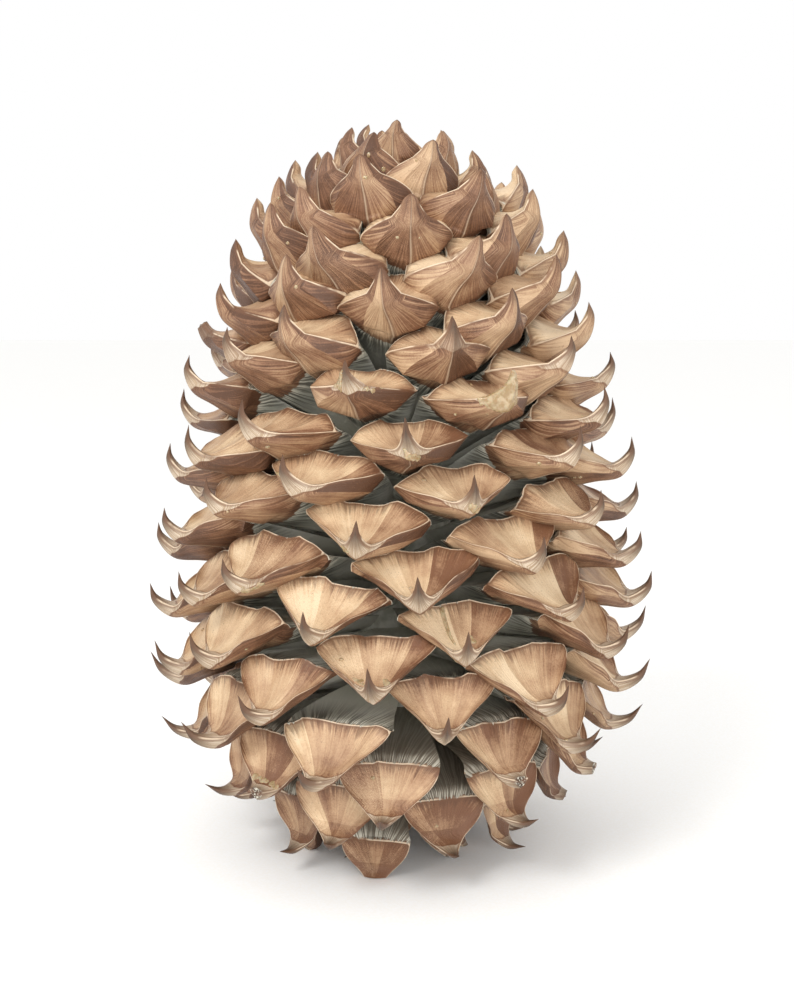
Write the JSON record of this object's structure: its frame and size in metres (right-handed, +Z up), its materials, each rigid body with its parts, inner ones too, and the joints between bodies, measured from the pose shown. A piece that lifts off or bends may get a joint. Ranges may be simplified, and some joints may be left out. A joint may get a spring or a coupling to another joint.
{
  "type": "pine cone",
  "caption": "Large open pine cone with thick keeled scales and hooked claws in spiral rows on a woody axis, standing upright on its lowest claws.",
  "frame": {"origin": "on the resting plane, under the centre of the cone's bounding box", "axes": "+Z up along the cone's axis to its tip, -Y towards the viewer of the picture, +X to that viewer's right"},
  "size_m": [0.2025, 0.2022, 0.2864],
  "materials": {
    "cone_wood": "dry matt wood, tan scale ends over grey-green shanks"
  },
  "bodies": {
    "root": {"cone": "cone_wood"}
  },
  "joints": []
}
